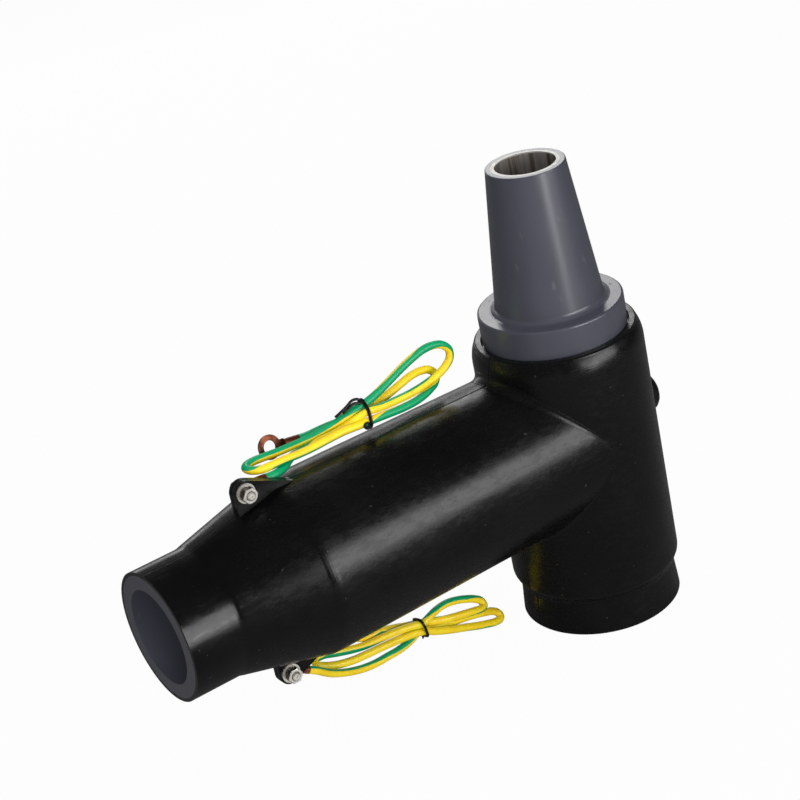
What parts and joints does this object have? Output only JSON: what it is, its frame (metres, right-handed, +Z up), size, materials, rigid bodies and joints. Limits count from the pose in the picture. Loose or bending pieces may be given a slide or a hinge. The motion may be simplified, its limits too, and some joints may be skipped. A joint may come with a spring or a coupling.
{
  "type": "separable elbow connector",
  "caption": "Screened rubber elbow connector for medium-voltage cable: bushing socket below, coupling cone above, long cable arm, earthing ears with tied green and yellow leads",
  "frame": {"origin": "centre of the socket mouth, on its rim", "axes": "+Z up the barrel to the cone, -X along the cable arm, the earthing ears in the XZ plane"},
  "size_m": [0.2946, 0.0876, 0.2385],
  "materials": {
    "jacket": "satin",
    "insulation": "satin",
    "screen": "matte",
    "cap": "satin",
    "contact": "brushed",
    "hardware": "bright",
    "copper": "dull",
    "lead": "gloss",
    "tie": "satin"
  },
  "bodies": {
    "root": {"outer_jacket": "jacket", "insulation_body": "insulation", "inner_screen": "screen", "contact_tube": "contact", "test_point_electrode": "contact", "test_point_cap": "cap", "upper_earth_screw": "hardware", "lower_earth_screw": "hardware", "upper_hex_nut": "hardware", "lower_hex_nut": "hardware", "upper_flat_washer": "hardware", "lower_flat_washer": "hardware", "upper_spring_washer": "hardware", "lower_spring_washer": "hardware", "upper_ear_terminal": "copper", "lower_ear_terminal": "copper", "upper_free_terminal": "copper", "lower_free_terminal": "copper", "upper_lead_tube": "lead", "lower_lead_tube": "lead", "upper_lead_hank": "lead", "lower_lead_hank": "lead", "upper_hank_tie": "tie", "lower_hank_tie": "tie"}
  },
  "joints": []
}
